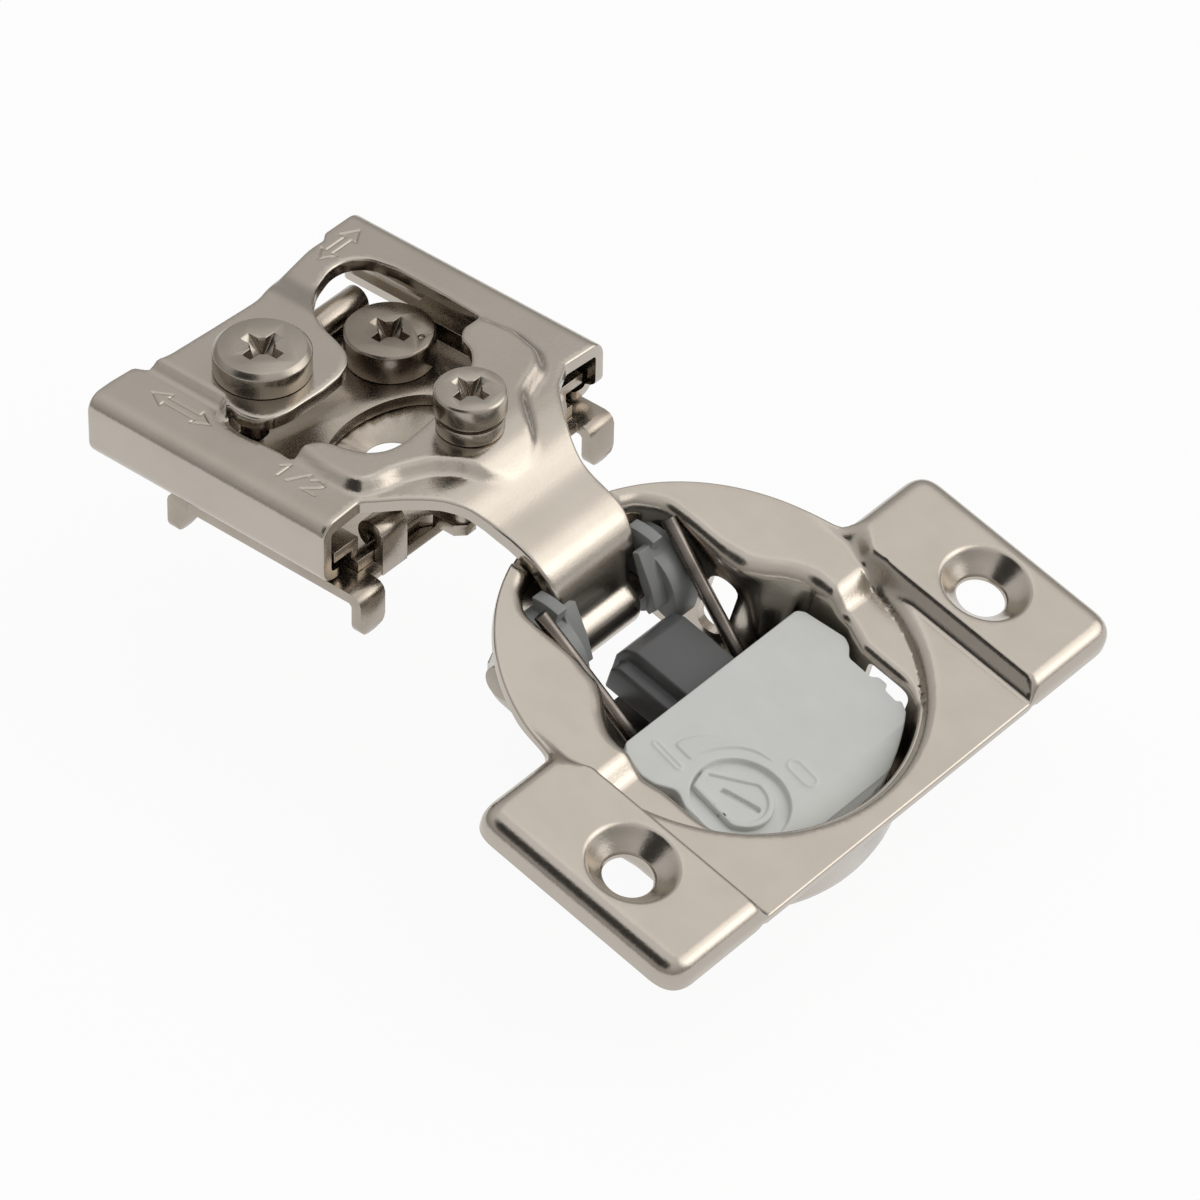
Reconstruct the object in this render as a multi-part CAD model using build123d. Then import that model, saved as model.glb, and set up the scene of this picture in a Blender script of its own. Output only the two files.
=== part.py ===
from build123d import *
from math import asin, cos, degrees, radians, sin
import os

os.makedirs("parts", exist_ok=True)

# All sizes are in millimetres. The origin is the middle of the base plate's screw hole, on the face
# that lies against the frame edge. X runs from the base towards the cup, Z out of the frame edge.
# The hinge is drawn fully open.

opening_angle = 105.0
frame_thickness = 19.05
overlay = 12.7
running_fit = 0.05
loose_gap = 0.15

# Base plate
base_sheet = 1.0
base_half_width = 15.9
hook_gap = frame_thickness / 2 + 0.05
hook_width = 3.0
hook_drop = 3.3
hook_half_spacing = 14.4
frame_screw_hole_r = 2.4
frame_screw_dish_r = 4.3
frame_screw_ring_r = 6.4
near_curl = {"root": 9.1, "y": 10.0, "width": 3.0, "r": 1.35}
far_curl = {"root": 14.9, "y": 8.4, "width": 5.4, "r": 1.3}

# Slide plate
slide_sheet = 1.1
slide_half_width = 13.4
slide_nose_x = 11.75
slide_nose_half_width = 4.9
strip_half_width = 15.5

# Arm
arm_sheet = 1.2
arm_far_end = -18.35
arm_near_end = 7.85
rail_half_width = 16.95
rail_top = 7.3
rail_lip_half_gap = 14.6
emboss = 1.0
neck_half_width = 5.3
eye_half_width = 3.7

# Cup
cup_r = 17.5
cup_sheet = 0.9
cup_depth = 11.4
mouth_round = 0.6
flange_r = 18.7
flange_near = -2.2
flange_far = 19.5
flange_half_width = 28.4
pad_inner = 17.4
pad_height = 1.5
fixing_hole_x = 9.5
fixing_hole_spacing = 45.0
fixing_hole_r = 2.1
fixing_sink_r = 3.6
pot_half_width = 12.9
narrow_half_width = 9.5
cup_x = 35.1
cup_z = -1.91

# Pivot of the cup on the arm, in the cup's own frame
pivot_x = -12.5
pivot_z = -6.4
pin_r = 1.3

# Cams and closing spring
cam_r = 4.7
cam_inner = 3.95
cam_step = 5.4
cam_outer = 8.3
wire_r = 0.62
wire_end = (-12.66, 8.02, -0.05)
wire_fall = 0.574
wire_closing_in = 0.116
wire_floor = -cup_depth + cup_sheet + wire_r + running_fit

# Damper
housing_front = -0.3
housing_top = -2.0
slider_front = -8.3
slider_half_width = 3.75
slider_y = 0.8
slider_top = -4.0
slider_stroke = 4.9
housing_low = -cup_depth + cup_sheet + 1.4
cover_top = housing_low + 0.55
slider_low = cover_top + 0.15
damper_axis_z = (slider_top + slider_low) / 2
cylinder_r = 1.7
cylinder_wall = 0.45
damper_spring_r = 1.1
damper_wire_r = 0.16
rod_r = 0.5
rod_end = 13.0
switch_x = 9.6
switch_y = -7.9
switch_point = 201.0
switch_turn = 110.0

# Adjusting screws
depth_screw = (-9.2, -5.6)
height_screw = (-7.6, 8.4)
side_screw = (8.45, 0.0)
depth_head_r = 4.15
height_head_r = 3.9
side_head_r = 3.05
side_thread_r = 1.75
cam_shaft_r = 2.4
cam_pin_r = 0.9
eccentricity = 1.45
slot_clearance = 0.08
side_travel = 0.7
side_pitch = 0.7


def slab(points, z0, z1):
    """Plan outline raised between two heights."""
    return Pos(0, 0, z0) * extrude(make_face(Polyline(*points, close=True)), amount=z1 - z0)


def prism(points, y0, y1):
    """Side outline (x, z) swept from y0 to y1."""
    face = make_face(Polyline(*[(x, 0, z) for x, z in points], close=True))
    return Pos(0, y0, 0) * extrude(face, amount=y1 - y0, dir=(0, 1, 0))


def block(x0, x1, y0, y1, z0, z1):
    return Pos((x0 + x1) / 2, (y0 + y1) / 2, (z0 + z1) / 2) * Box(x1 - x0, y1 - y0, z1 - z0)


def post(x, y, z0, z1, r):
    return Pos(x, y, (z0 + z1) / 2) * Cylinder(r, z1 - z0)


def taper(x, y, z0, z1, r0, r1):
    return Pos(x, y, (z0 + z1) / 2) * Cone(r0, r1, z1 - z0)


def rod(x, z, y0, y1, r):
    return Pos(x, (y0 + y1) / 2, z) * Rot(90, 0, 0) * Cylinder(r, y1 - y0)


def mirrored(shape):
    return shape + mirror(shape, about=Plane.XZ)


def in_cup(shape):
    """From the cup's own frame to the hinge frame: tipped by the opening beyond a right angle."""
    return Pos(cup_x, 0, cup_z) * Rot(0, opening_angle - 90, 0) * shape


def rounded_slab(x0, x1, y0, y1, z0, z1, r):
    plan = RectangleRounded(x1 - x0, y1 - y0, r)
    return Pos((x0 + x1) / 2, (y0 + y1) / 2, z0) * extrude(plan, amount=z1 - z0)


def cross_recess(x, y, top, size, depth):
    """Cross drive recess with tapering wings."""
    wing = 0.24 * size
    bars = None
    for turn in (0, 90):
        low = 0.35 * size
        flank = make_face(Polyline((-size, 0, 0), (size, 0, 0), (low, 0, -depth), (-low, 0, -depth), close=True))
        bar = Rot(0, 0, turn) * Pos(0, -wing, 0) * extrude(flank, amount=2 * wing, dir=(0, 1, 0))
        bars = bar if bars is None else bars + bar
    bars = bars + Pos(0, 0, -depth / 2) * Cone(0.28 * size, 0.55 * size, depth)
    return Pos(x, y, top) * bars


def export(shape, name):
    export_step(shape, "parts/" + name + ".step")


# Heights of the stack on the frame edge
slide_low = base_sheet + running_fit
slide_top = slide_low + slide_sheet
lip_low = base_sheet + loose_gap
lip_top = lip_low + 1.0
strip_low = lip_top + running_fit + side_travel
bridge_top = slide_top + 1.0
strip_top = strip_low + 1.0
rail_under = rail_top - arm_sheet
raised_top = rail_top + emboss
raised_under = raised_top - arm_sheet


# Base plate: sheet with four hooks over the frame's corners and four curls that hold the slide plate
def hook(x_side, y_side):
    x0 = hook_gap
    path = [
        (x0 - 1.2, 0), (x0 - 0.25, 0), (x0, -0.25), (x0, -hook_drop + 0.5), (x0 + 0.2, -hook_drop),
        (x0 + 0.8, -hook_drop), (x0 + base_sheet, -hook_drop + 0.5), (x0 + base_sheet, 0.1),
        (x0 + base_sheet - 0.15, 0.55), (x0 + base_sheet - 0.5, 0.88), (x0 + base_sheet - 1.0, base_sheet),
        (x0 - 1.2, base_sheet),
    ]
    y0 = hook_half_spacing - hook_width / 2
    piece = prism(path, y0, y0 + hook_width)
    if x_side < 0:
        piece = mirror(piece, about=Plane.YZ)
    if y_side < 0:
        piece = mirror(piece, about=Plane.XZ)
    return piece


def curl(place, side):
    """Pair of tabs that rise from the plate and roll back over the slide plate."""
    r = place["r"]
    root = place["root"]
    y0 = place["y"] - place["width"] / 2
    y1 = place["y"] + place["width"] / 2
    x_c = root - r
    z_c = slide_top + running_fit + r
    outer = []
    inner = []
    for k in range(15):
        a = radians(250 * k / 14)
        outer.append((x_c + r * cos(a), z_c + r * sin(a)))
        inner.append((x_c + (r - 0.9) * cos(a), z_c + (r - 0.9) * sin(a)))
    foot = [(root - 0.9, base_sheet), (root - 2.5, base_sheet), (root - 2.5, 0)]
    profile = [(root, 0)] + outer + inner[::-1] + foot
    piece = prism(profile, y0, y1)
    if side < 0:
        piece = mirror(piece, about=Plane.YZ)
    return mirrored(piece)


def base_plate():
    half = hook_gap - 0.6
    plate = rounded_slab(-half, half, -base_half_width, base_half_width, 0, base_sheet, 0.8)
    far = far_curl["root"]
    plate += rounded_slab(-far + 0.4, -half + 2, -11.1, 11.1, 0, base_sheet, 0.8)
    for x_side in (-1, 1):
        for y_side in (-1, 1):
            plate += hook(x_side, y_side)
    plate += curl(near_curl, 1)
    plate += curl(far_curl, -1)
    plate -= taper(0, 0, base_sheet - 0.25, base_sheet + 0.001, frame_screw_dish_r, frame_screw_ring_r)
    plate -= taper(0, 0, 0.1, base_sheet - 0.25, frame_screw_hole_r, frame_screw_dish_r)
    plate -= post(0, 0, -1, 3, frame_screw_hole_r)
    # well along X for the eccentric pin of the height cam
    x = height_screw[0] + eccentricity
    y = height_screw[1]
    half_slot = cam_pin_r + slot_clearance
    plate -= rounded_slab(
        x - 0.7 - half_slot, x + 0.2 + half_slot, y - half_slot, y + half_slot, -1, 3, half_slot - 0.01)
    return plate


# Slide plate: guided by the curls, carries the height cam and, in its strips, the arm's rails
def slide_plate():
    near = near_curl["root"] - 0.9 - 0.1
    far = far_curl["root"] - 0.9 - 0.1
    w = slide_half_width
    nose = slide_nose_half_width
    plate = slab(
        [(-far, -11.4), (-far + 0.6, -12.0), (-9.6, -12.0), (-9.2, -w), (near, -w), (near, -nose - 1.0),
         (near + 0.6, -nose), (slide_nose_x - 0.8, -nose), (slide_nose_x, -nose + 0.8), (slide_nose_x, nose - 0.8),
         (slide_nose_x - 0.8, nose), (near + 0.6, nose), (near, nose + 1.0), (near, w), (-9.2, w), (-9.6, 12.0),
         (-far + 0.6, 12.0), (-far, 11.4)],
        slide_low, slide_top)
    strip = block(-9.2, 7.4, w - 0.7, strip_half_width, strip_low, strip_top)
    step = block(-9.2, 7.4, w - 0.8, w, slide_low, strip_top)
    plate += mirrored(strip + step)
    # opening over the frame screw
    plate -= Pos(0.45, 0, 0) * extrude(Ellipse(4.85, 7.4), amount=10)
    # bridge over the foot of the side shoe, slotted along X
    x = side_screw[0]
    plate += rounded_slab(x - 3.2, x + 3.2, -4.4, 4.4, slide_low, bridge_top, 1.0)
    plate -= block(x - 2.9, x + 4, -3.0, 3.0, slide_low - 1, slide_top)
    plate -= rounded_slab(x - 2.5, x + 2.5, -1.3, 1.3, slide_low, bridge_top + 1, 0.6)
    # slot along Y for the eccentric pin of the depth cam
    x = depth_screw[0]
    y = depth_screw[1] - eccentricity
    half_slot = cam_pin_r + slot_clearance
    plate -= rounded_slab(
        x - half_slot, x + half_slot, y - 0.3 - half_slot, y + 0.7 + half_slot, 0, 5, half_slot - 0.01)
    # bore of the height cam, sunk from below for the cam's peened rim
    x, y = height_screw
    plate -= post(x, y, 0, 5, cam_shaft_r + running_fit)
    plate -= taper(x, y, slide_low - 0.001, slide_low + 0.5, cam_shaft_r + 0.55, cam_shaft_r + running_fit)
    return plate


# Arm: one stamped sheet with two C rails, a raised middle, a neck and a rolled eye
def rail_side():
    w = rail_half_width
    r = 1.6
    q = 0.5
    q_low = 0.15
    steps = 6
    outer = []
    inner = [(rail_lip_half_gap, lip_top)]
    for k in range(steps + 1):
        a = radians(90 - 90 * k / steps)
        outer.append((w - r + r * cos(a), rail_top - r + r * sin(a)))
    for k in range(steps + 1):
        a = radians(-90 * k / steps)
        outer.append((w - r + r * cos(a), lip_low + r + r * sin(a)))
    outer.append((rail_lip_half_gap, lip_low))
    for k in range(steps + 1):
        a = radians(-90 + 90 * k / steps)
        inner.append((w - 1.1 - q_low + q_low * cos(a), lip_top + q_low + q_low * sin(a)))
    for k in range(steps + 1):
        a = radians(90 * k / steps)
        inner.append((w - 1.1 - q + q * cos(a), rail_under - q + q * sin(a)))
    inner.append((12.2, rail_under))
    inner.append((12.2, rail_top))
    face = make_face(Polyline(*[(0, y, z) for y, z in outer + inner], close=True))
    return Pos(arm_far_end, 0, 0) * extrude(face, amount=arm_near_end - arm_far_end, dir=(1, 0, 0))


def pivot():
    """Pivot axis in the hinge frame."""
    a = radians(opening_angle - 90)
    return (cup_x + pivot_x * cos(a) + pivot_z * sin(a), cup_z - pivot_x * sin(a) + pivot_z * cos(a))


def neck_line():
    """Upper side of the sheet from the raised middle to the eye, in the XZ plane."""
    px, pz = pivot()
    return [
        (3.5, raised_top), (10.2, raised_top), (12.2, raised_top - 0.35), (14.0, raised_top - 1.5),
        (15.6, raised_top - 2.9), (17.0, 4.75), (18.6, 4.0), (19.8, 3.4), (20.9, 2.6), (21.6, 1.75), (22.05, 0.9), (22.3, -0.2),
        (px + 1.46, pz + 1.96), (px + 1.7, pz + 0.6),
    ]


def offset_line(points, distance):
    """Parallel polyline on the right-hand side of the direction of travel."""
    out = []
    for i, (x, z) in enumerate(points):
        ax, az = points[max(i - 1, 0)]
        bx, bz = points[min(i + 1, len(points) - 1)]
        length = ((bx - ax) ** 2 + (bz - az) ** 2) ** 0.5
        out.append((x + (bz - az) / length * distance, z - (bx - ax) / length * distance))
    return out


def arm():
    body = mirrored(rail_side())
    # flat sheet at the far end and at the near end of the main cut-out
    body += slab(
        [(-17.9, 15.0), (-18.0, 11.0), (-17.4, 7.0), (-15.9, 2.6), (-16.3, -4.6), (-16.7, -10.2), (-17.9, -11.2),
         (-18.0, -15.0), (-8.5, -15.0), (-8.5, -10.6), (-4.6, -10.2), (-3.8, -8.5), (-3.8, -2.0), (-4.5, -0.1),
         (-5.8, 0.7), (-9.9, 2.0), (-12.0, 3.6), (-13.8, 6.1), (-14.6, 8.8), (-14.5, 10.8), (-13.5, 11.9),
         (-12.0, 12.5), (-9.0, 12.5), (-9.0, 15.0)],
        rail_under, rail_top)
    body += slab(
        [(-2.0, -15.0), (-2.0, -12.0), (-0.4, -11.9), (0.0, -10.0), (1.1, -9.0), (3.2, -8.7), (4.6, -7.8), (5.6, -6.1),
         (5.6, -3.4), (5.5, -1.2), (5.2, 2.5), (3.4, 6.6), (1.2, 8.0), (-0.3, 8.4), (-0.5, 11.4), (-1.2, 12.4),
         (-4.0, 12.5), (-4.0, 15.0), (7.85, 15.0), (7.85, -15.0)],
        rail_under, rail_top)
    # hollows beneath the raised pad and the raised near part
    body -= slab(
        [(-20.0, 1.6), (-20.0, -9.0), (-9.5, -9.0), (-3.0, -9.2), (-3.0, 3.0), (-9.9, 3.0), (-12.0, 2.6)],
        rail_under - 1, raised_under)
    body += slab(
        [(-15.6, 2.4), (-16.2, -4.6), (-16.4, -9.6), (-9.0, -9.9), (-5.0, -10.2), (-4.0, -9.6), (-3.8, -8.5),
         (-3.8, -2.2), (-4.5, -0.1), (-5.8, 0.7), (-9.9, 2.0), (-12.0, 3.4), (-12.8, 4.4)],
        raised_under, raised_top)
    body -= slab(
        [(0.8, -10.4), (5.2, -10.4), (6.4, -9.6), (7.0, -8.0), (7.9, -5.3), (7.9, 6.2),
         (7.0, 9.0), (5.6, 10.4), (1.6, 10.6), (-1.0, 8.4), (3.0, 5.0), (3.0, -5.0), (0.0, -8.0)],
        rail_under - 1, raised_under)
    body += slab(
        [(0.0, -10.6), (0.6, -11.3), (5.6, -11.3), (7.0, -10.4), (7.7, -8.4), (9.0, -5.9), (9.0, 6.9), (8.0, 9.6),
         (6.2, 11.3), (0.8, 11.6), (0.0, 11.0), (-0.3, 8.4), (1.2, 8.0), (3.4, 6.6), (5.2, 2.5), (5.5, -1.2),
         (5.6, -3.4), (5.6, -6.1), (4.6, -7.8), (3.2, -8.7), (1.1, -9.0)],
        raised_under, raised_top)
    # neck, cut to its plan outline
    line = neck_line()
    sheet = prism(line + offset_line(line, arm_sheet)[::-1], -12, 12)
    plan = [
        (6.2, 9.0), (8.3, 9.6), (9.85, 9.4), (11.85, 7.8), (13.85, 6.4), (15.85, 5.55), (17.0, 5.35),
        (20.8, neck_half_width), (21.9, 5.0), (22.3, 4.7), (22.32, eye_half_width), (26, eye_half_width),
    ]
    body += sheet & slab(plan + [(x, -y) for x, y in reversed(plan)], -12, 12)
    px, pz = pivot()
    eye_r = pin_r + arm_sheet
    body += rod(px, pz, -eye_half_width, eye_half_width, eye_r)
    body -= rod(px, pz, -8, 8, pin_r + running_fit)
    # the roll ends behind the neck
    body -= Pos(px, 0, pz) * Rot(0, 35, 0) * block(-eye_r - 1, -pin_r + 0.3, -8, 8, 0.2, 0.8)
    body -= post(depth_screw[0], depth_screw[1], 3, 12, cam_shaft_r + running_fit)
    body -= post(side_screw[0], side_screw[1], 3, 12, side_thread_r + running_fit)
    return body


# Depth cam: turns in the pad, its eccentric pin rides in the slide plate's slot
def depth_cam():
    x, y = depth_screw
    top = raised_top + 2.4
    head = post(x, y, raised_top + running_fit, top, depth_head_r)
    head = chamfer(head.edges().group_by(Axis.Z)[-1], 0.45)
    head += post(x, y, raised_under - 1.6, raised_top + 0.2, cam_shaft_r)
    head += post(x, y - eccentricity, slide_low + 0.1, raised_under - 1.5, cam_pin_r)
    head -= cross_recess(x, y, top, 2.0, 1.7)
    return head


def depth_cam_washer():
    x, y = depth_screw
    ring = post(x, y, raised_under - 0.8, raised_under - running_fit, 3.35)
    return ring - post(x, y, 0, 12, cam_shaft_r)


# Height cam: turns in the slide plate, its eccentric pin sits in the base plate's well
def height_cam():
    x, y = height_screw
    low = slide_top + running_fit
    top = low + 2.75
    head = post(x, y, low, top, height_head_r)
    head = chamfer(head.edges().group_by(Axis.Z)[-1], 0.2)
    head += post(x, y, slide_low + 0.02, low + 0.1, cam_shaft_r)
    head += taper(x, y, slide_low + 0.02, slide_low + 0.42, cam_shaft_r + 0.44, cam_shaft_r)
    head += post(x + eccentricity, y, 0.1, slide_low + 0.1, cam_pin_r)
    head -= cross_recess(x, y, top, 1.9, 1.8)
    head -= Pos(x + 2.6, y + 1.0, top) * Sphere(0.3)
    return head


# Side screw: held in the arm by its collar and a ring, threaded into the shoe
def side_screw_piece():
    x, y = side_screw
    top = raised_top + 3.9
    head = post(x, y, top - 2.0, top, side_head_r)
    head = chamfer(head.edges().group_by(Axis.Z)[-1], 0.2)
    head += post(x, y, top - 2.7, top - 1.9, 2.45)
    head += post(x, y, raised_top + running_fit, top - 2.6, 2.85)
    head += post(x, y, bridge_top + 0.7, raised_top + 0.2, side_thread_r)
    head -= cross_recess(x, y, top, 1.75, 1.9)
    return head


def side_screw_ring():
    x, y = side_screw
    ring = post(x, y, raised_under - 0.7, raised_under - 0.15, 2.3)
    return ring - post(x, y, 0, 12, side_thread_r)


def side_shoe():
    """Nut with a square foot that slides under the slide plate's bridge."""
    x, y = side_screw
    foot = rounded_slab(x - 1.4, x + 1.4, -2.8, 2.8, slide_low + 0.05, slide_top - running_fit, 0.4)
    foot += rounded_slab(x - 1.25, x + 1.25, -1.22, 1.22, slide_top - 0.2, bridge_top + 0.3, 0.4)
    foot += post(x, y, bridge_top + running_fit, raised_under - 0.85, 2.7)
    foot -= post(x, y, bridge_top + 0.5, 12, side_thread_r + running_fit)
    return foot


# Cup: one pressed sheet with a flange, two raised wing pads and a pot
def pot_outline(grow):
    """Plan of the pot: a round far half and a narrower half towards the arm."""
    r = cup_r - cup_sheet + grow
    w = narrow_half_width + grow
    wide = pot_half_width + grow
    points = []
    x_end = (r * r - w * w) ** 0.5
    start = degrees(asin(wide / r))
    near = degrees(asin(w / r))
    for k in range(31):
        a = radians(-start + 2 * start * k / 30)
        points.append((r * cos(a), r * sin(a)))
    points += [(2.6, wide), (1.0, wide - 0.5), (-3.4, w + 1.3), (-5.0, w + 0.1), (-6.4, w)]
    for k in range(13):
        a = radians(180 - near + 2 * near * k / 12)
        points.append((r * cos(a), r * sin(a)))
    points += [(-6.4, -w), (-5.0, -w - 0.1), (-3.4, -w - 1.3), (1.0, -wide + 0.5), (2.6, -wide)]
    return points


def cup():
    t = cup_sheet
    mouth = pot_outline(0)
    flange = post(0, 0, -t, 0, flange_r)
    flange += rounded_slab(flange_near, flange_far, -flange_half_width, flange_half_width, -t, 0, 1.8)
    for side in (-1, 1):
        y0, y1 = sorted((side * pad_inner, side * flange_half_width))
        pad = rounded_slab(flange_near, flange_far, y0, y1, -t + 0.01, pad_height, 1.8)
        pad = fillet(pad.edges().group_by(Axis.Z)[-1], 1.5)
        flange += pad
        flange -= rounded_slab(flange_near + t, flange_far - t, y0 + t, y1 - t, -t - 1, pad_height - t, 1.0)
        x = fixing_hole_x
        y = side * fixing_hole_spacing / 2
        flange += taper(x, y, pad_height - t - 1.0, pad_height - t + 0.1, 3.0, 4.4)
        flange -= post(x, y, -5, 5, fixing_hole_r)
        flange -= taper(x, y, pad_height - 1.15, pad_height + 0.001, fixing_hole_r, fixing_sink_r)
    pot = slab(pot_outline(t), -cup_depth, -t / 2)
    pot = chamfer(pot.edges().group_by(Axis.Z)[0], 0.8)
    body = flange + pot
    body -= slab(mouth, -cup_depth + t, 1)
    body = fillet(body.edges().filter_by_position(Axis.Z, -0.001, 0.001).filter_by(
        lambda e: e.center().X ** 2 + e.center().Y ** 2 < (cup_r - 0.2) ** 2), mouth_round)
    # open floor and open end wall for the arm's eye, side windows, lug windows, dip under the neck
    body -= block(-15.2, -7.0, -8.9, 8.9, -cup_depth - 1, -cup_depth + t + 1)
    body -= block(-20, -13.5, -8.6, 8.6, -cup_depth + t, -1.7)
    body -= block(-7.3, -5.1, -20, 20, -9.0, -2.9)
    body -= block(6.4, 11.0, -20, 20, -7.0, -4.0)
    body -= block(-20, -14.0, -6.0, 6.0, -0.4, 1)
    # bores for the pin
    body -= rod(pivot_x, pivot_z, -15, 15, pin_r)
    return in_cup(body)


def hinge_pin():
    w = narrow_half_width + cup_sheet
    piece = rod(pivot_x, pivot_z, -w - 0.1, w + 0.1, pin_r)
    for side in (-1, 1):
        y0, y1 = sorted((side * w, side * (w + 0.8)))
        head = rod(pivot_x, pivot_z, y0, y1, 1.6)
        piece += head
    return in_cup(piece)


# Cams: turn with the arm and press the spring's legs down
def cam(side):
    y0, y1 = cam_step, cam_outer
    full = []
    for k in range(19):
        a = radians(-8 + 130 * k / 18)
        full.append((pivot_x + cam_r * cos(a), pivot_z + cam_r * sin(a)))
    hub = rod(pivot_x, pivot_z, y0, y1, 2.5)
    lobe = prism(full + [(pivot_x, pivot_z)], y0, y1)
    tall = []
    for k in range(9):
        a = radians(84 + 27 * k / 8)
        tall.append((pivot_x + 6.0 * cos(a), pivot_z + 6.0 * sin(a)))
    crest = prism(tall + [(pivot_x - 1.0, pivot_z + 3.0), (pivot_x + 0.6, pivot_z + 3.0)], y0, 6.6)
    px, pz = pivot_x, pivot_z
    shoe = prism(
        [(px + 0.35, pz + 5.5), (px + 2.5, pz + 3.0), (px + 3.6, pz + 1.2), (px + 3.1, pz + 0.2), (px + 2.62, pz + 0.4),
         (px + 2.3, pz + 1.5), (px + 1.4, pz + 2.6), (px - 0.2, pz + 5.1)],
        cam_inner, y0 + 0.2)
    body = hub + lobe + crest + shoe
    body -= rod(pivot_x, pivot_z, 0, 12, pin_r + running_fit)
    if side < 0:
        body = mirror(body, about=Plane.XZ)
    return in_cup(body)


def spring_point(x):
    """Leg of the closing spring at x, in the cup's frame."""
    run = x - wire_end[0]
    return (x, wire_end[1] - wire_closing_in * run, wire_end[2] - wire_fall * run)


def closing_spring():
    """Two straight legs that run down under the housing and join in a loop on the pot's floor."""
    floor = wire_floor
    bend_x = wire_end[0] + (wire_end[2] - floor) / wire_fall
    y_bend = spring_point(bend_x)[1]
    start = spring_point(wire_end[0])
    before = spring_point(bend_x - 1.2)
    loop_x = 11.4
    right = Line(start, before)
    down = Spline(before, (bend_x + 1.4, y_bend, floor), tangents=(right % 1, (1, 0, 0)))
    flat = Line(down @ 1, (loop_x - 3.0, y_bend, floor))
    corner = Spline(flat @ 1, (loop_x, y_bend - 3.0, floor), tangents=((1, 0, 0), (0, -1, 0)))
    half = Line(corner @ 1, (loop_x, 0, floor))
    path = Wire([right, down, flat, corner, half])
    section = Plane(origin=start, z_dir=right % 0) * Circle(wire_r)
    leg = sweep(section, path=path)
    return in_cup(leg + mirror(leg, about=Plane.XZ))


# Damper housing: clipped into the far half of the pot
def housing_outline():
    x = housing_front
    points = [(x, -10.9), (x, 10.8), (x + 0.6, 11.3), (4.2, 11.9), (5.0, 11.5), (5.8, 10.5), (8.2, 10.4),
              (8.7, 10.9), (9.6, 10.9), (9.9, 10.3), (11.2, 10.1), (11.5, 10.5), (12.5, 9.9)]
    r = 15.9
    for k in range(13):
        a = radians(38 - 76 * k / 12)
        points.append((r * cos(a), r * sin(a)))
    points += [(10.0, -12.2), (7.2, -12.0), (5.6, -11.2), (4.0, -12.2), (2.7, -12.4), (0.6, -11.8)]
    return points


def damper_housing():
    low = housing_low
    lid = housing_top - 1.0
    body = slab(housing_outline(), lid - 0.2, housing_top)
    # dipping segment beyond the crease
    body -= Pos(13.2, 0, housing_top) * Rot(0, 28, 0) * block(0, 8, -15, 15, 0, 5)
    body += block(0.2, 13.4, slider_y - slider_half_width - 0.9, slider_y + slider_half_width + 0.9, low, lid)
    body += slab(housing_outline(), low, lid) - housing_hollow()
    # room for the slider, the spring and the rod
    half = slider_half_width + running_fit
    body -= block(-5, 6.9, slider_y - half, slider_y + half, cover_top, slider_top + running_fit)
    body -= block(-5, 12.2, slider_y - 1.6, slider_y + 1.6, damper_axis_z - 1.6, damper_axis_z + 1.6)
    body -= block(-5, 12.2, slider_y - half, slider_y + half, low - 1, cover_top)
    # channels for the spring legs
    z = wire_floor + 1.6
    channel = prism([(-3, -3.8), (0.4, -3.8), (7.5, z), (14, z), (14, low - 3), (-3, low - 3)], 5.65, 9.4)
    body -= mirrored(channel)
    body -= block(9.8, 13.0, -9, 9, low - 1, low + 0.2)
    # blind hole that holds the damper's rod
    body -= along(12, rod_end, rod_r)
    # pocket and bore of the switch
    body -= post(switch_x, switch_y, housing_top - 0.5, housing_top + 1, 4.75) & slab(
        [(0, -13), (0, -2.9), (14.6, -2.9), (14.6, -13)], -4, 2)
    body -= post(switch_x, switch_y, -10, 2, 1.2 + running_fit)
    # raised marks
    body += block(2.0, 3.0, -10.1, -8.2, housing_top - 0.05, housing_top + 0.12)
    zero = extrude(Ellipse(1.35, 0.85) - Ellipse(1.05, 0.55), amount=0.17)
    body += Pos(11.0, -1.6, housing_top - 0.05) * Rot(0, 0, 38) * zero
    return in_cup(body)


def housing_hollow():
    """Space inside the housing's side wall."""
    points = [(-2, -9.6), (-2, 9.6), (8.0, 9.2), (12.3, 8.3), (14.0, 5.0), (14.5, 0), (14.0, -5.0), (12.3, -8.3),
              (8.0, -10.4), (3, -11.0)]
    return slab(points, housing_low - 1, housing_top - 1.2)


def damper_cover():
    """Plate that closes the housing below the slider."""
    half = slider_half_width + running_fit
    plate = block(0.6, 9.6, slider_y - half, slider_y + half, housing_low, cover_top)
    return in_cup(plate)


def damper_slider():
    y0 = slider_y - slider_half_width
    y1 = slider_y + slider_half_width
    low = slider_low
    x = slider_front
    profile = [(x, low), (x, -6.0), (x + 0.7, -4.6), (x + 1.7, slider_top), (1.4, slider_top), (1.4, low)]
    body = prism(profile, y0 + 1.3, y1)
    x = slider_front + 0.6
    step = prism([(x, low), (x, -6.2), (x + 0.8, -5.4), (1.4, -5.4), (1.4, low)], y0, y0 + 1.4)
    body += step
    body -= Pos(0, slider_y, damper_axis_z) * Rot(0, 90, 0) * Pos(0, 0, -6.9 + 10) * Cylinder(cylinder_r, 20)
    return in_cup(body)


def along(x0, x1, r):
    """Round bar on the damper's axis."""
    return Pos((x0 + x1) / 2, slider_y, damper_axis_z) * Rot(0, 90, 0) * Cylinder(r, x1 - x0)


def damper_cylinder():
    body = along(-6.9, 1.2, cylinder_r)
    body -= along(-6.4, 2, cylinder_r - cylinder_wall)
    return in_cup(body)


def damper_gland():
    body = along(0.2, 1.2, cylinder_r - cylinder_wall)
    body -= along(-1, 3, rod_r + running_fit)
    return in_cup(body)


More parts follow.
